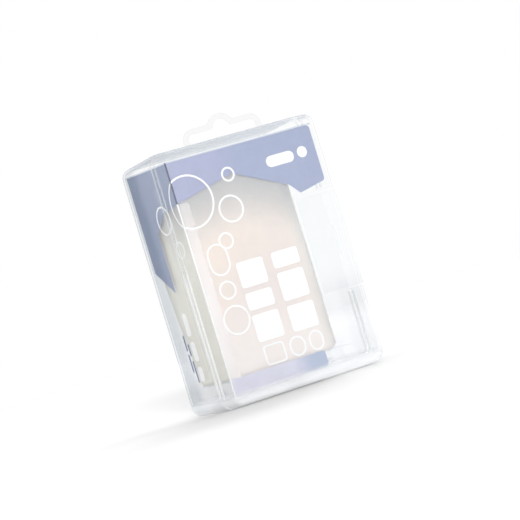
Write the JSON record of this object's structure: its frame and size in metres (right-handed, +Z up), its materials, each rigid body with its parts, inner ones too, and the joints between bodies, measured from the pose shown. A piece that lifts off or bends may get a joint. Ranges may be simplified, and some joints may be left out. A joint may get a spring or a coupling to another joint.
{
  "type": "clay bar in hinged hang-tab case",
  "caption": "Detailing clay block in a clear hinged case with a printed clear sleeve, a side latch flap and a hang tab.",
  "frame": {"origin": "middle of the footprint at the bottom of the case", "axes": "+Z up towards the hang tab, -Y out of the front lid, +X towards the latch side"},
  "size_m": [0.0728, 0.041, 0.1144],
  "materials": {
    "case_plastic": "clear moulded polypropylene, glossy",
    "tab_plastic": "translucent moulded polypropylene",
    "sleeve_film": "clear folded sheet",
    "blue_ink": "printed dusty blue",
    "clay": "smooth kneadable clay, pale beige"
  },
  "bodies": {
    "tray": {"rear_tray": "case_plastic", "hang_tab": "tab_plastic", "lid_hinge_web": "case_plastic", "print_sleeve": "sleeve_film", "header_ink": "blue_ink", "foot_ink": "blue_ink", "clay_block": "clay"},
    "lid": {"front_lid": "case_plastic", "flap_hinge_web": "case_plastic"},
    "flap": {"latch_flap": "case_plastic"}
  },
  "joints": [
    {"name": "lid_hinge", "type": "hinge", "parent": "tray", "child": "lid", "pos_m": [-0.0365, -0.0097, 0.0525], "axis": [0, 0, -1], "range_deg": [0, 180]},
    {"name": "flap_hinge", "type": "hinge", "parent": "lid", "child": "flap", "pos_m": [0.0354, -0.02005, 0.0525], "axis": [0, 0, -1], "range_deg": [0, 110]}
  ]
}
